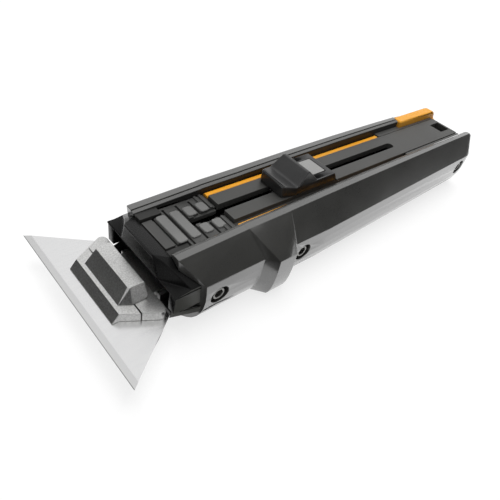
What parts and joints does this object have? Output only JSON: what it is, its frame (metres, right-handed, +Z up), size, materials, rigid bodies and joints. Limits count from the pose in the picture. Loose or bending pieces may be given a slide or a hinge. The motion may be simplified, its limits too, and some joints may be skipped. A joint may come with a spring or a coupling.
{
  "type": "razor blade scraper",
  "caption": "Hand scraper with a trapezoid blade clamped crosswise in a steel jaw head, a ribbed thumb pad, a locking thumb slider in a long slot and a spare-blade magazine in the tail.",
  "frame": {"origin": "centre of the flat base on the surface the tool lies on, halfway between the cutting edge and the tail and on the tool's middle plane", "axes": "+X runs along the tool from the cutting edge to the tail, +Y to the right side seen from behind, +Z up from the flat base"},
  "size_m": [0.178, 0.061, 0.0302],
  "materials": {
    "shell_grey": "satin moulded",
    "plate_grey": "satin",
    "black_plastic": "semi-gloss",
    "black_rubber": "matt",
    "orange_plastic": "semi-gloss",
    "head_steel": "fine blasted",
    "blade_steel": "ground and polished",
    "screw_steel": "zinc plated",
    "inner_steel": "pressed",
    "brass": "knurled"
  },
  "bodies": {
    "body": {"left_shell": "shell_grey", "right_shell": "shell_grey", "inner_frame": "black_plastic", "nose_housing": "black_plastic", "top_plate": "plate_grey", "thumb_pad": "black_rubber", "left_accent_strip": "orange_plastic", "right_accent_strip": "orange_plastic", "body_screws": "screw_steel", "screw_inserts": "brass", "lock_rack": "inner_steel", "magazine_spring": "inner_steel"},
    "carriage": {"blade_carrier": "inner_steel", "carrier_post": "inner_steel", "carrier_shoes": "black_plastic", "lower_jaw": "head_steel", "head_plate": "head_steel", "head_rivets": "inner_steel", "blade_studs": "inner_steel", "blade": "blade_steel", "jaw_pin": "inner_steel", "slider_button": "black_plastic", "slider_pin": "inner_steel", "lock_spring": "inner_steel"},
    "jaw": {"front_jaw": "head_steel", "clamp_block": "head_steel"},
    "lock": {"lock_button": "inner_steel", "lock_tongue": "inner_steel"},
    "magazine": {"magazine_tab": "orange_plastic", "magazine_tray": "black_plastic", "spare_blades": "blade_steel"}
  },
  "joints": [
    {"name": "slide", "type": "slide", "parent": "body", "child": "carriage", "axis": [-1, 0, 0], "range_m": [0, 0.0326]},
    {"name": "jaw_hinge", "type": "hinge", "parent": "carriage", "child": "jaw", "pos_m": [-0.0744, 0, 0.0128], "axis": [0, 1, 0], "range_deg": [0, 20]},
    {"name": "lock_press", "type": "slide", "parent": "carriage", "child": "lock", "axis": [0, 0, -1], "range_m": [0, 0.0012], "stiffness_N_per_m": 600, "springref_m": -0.0006, "deforming": ["lock_spring"]},
    {"name": "magazine_slide", "type": "slide", "parent": "body", "child": "magazine", "axis": [1, 0, 0], "range_m": [0, 0.05]}
  ]
}
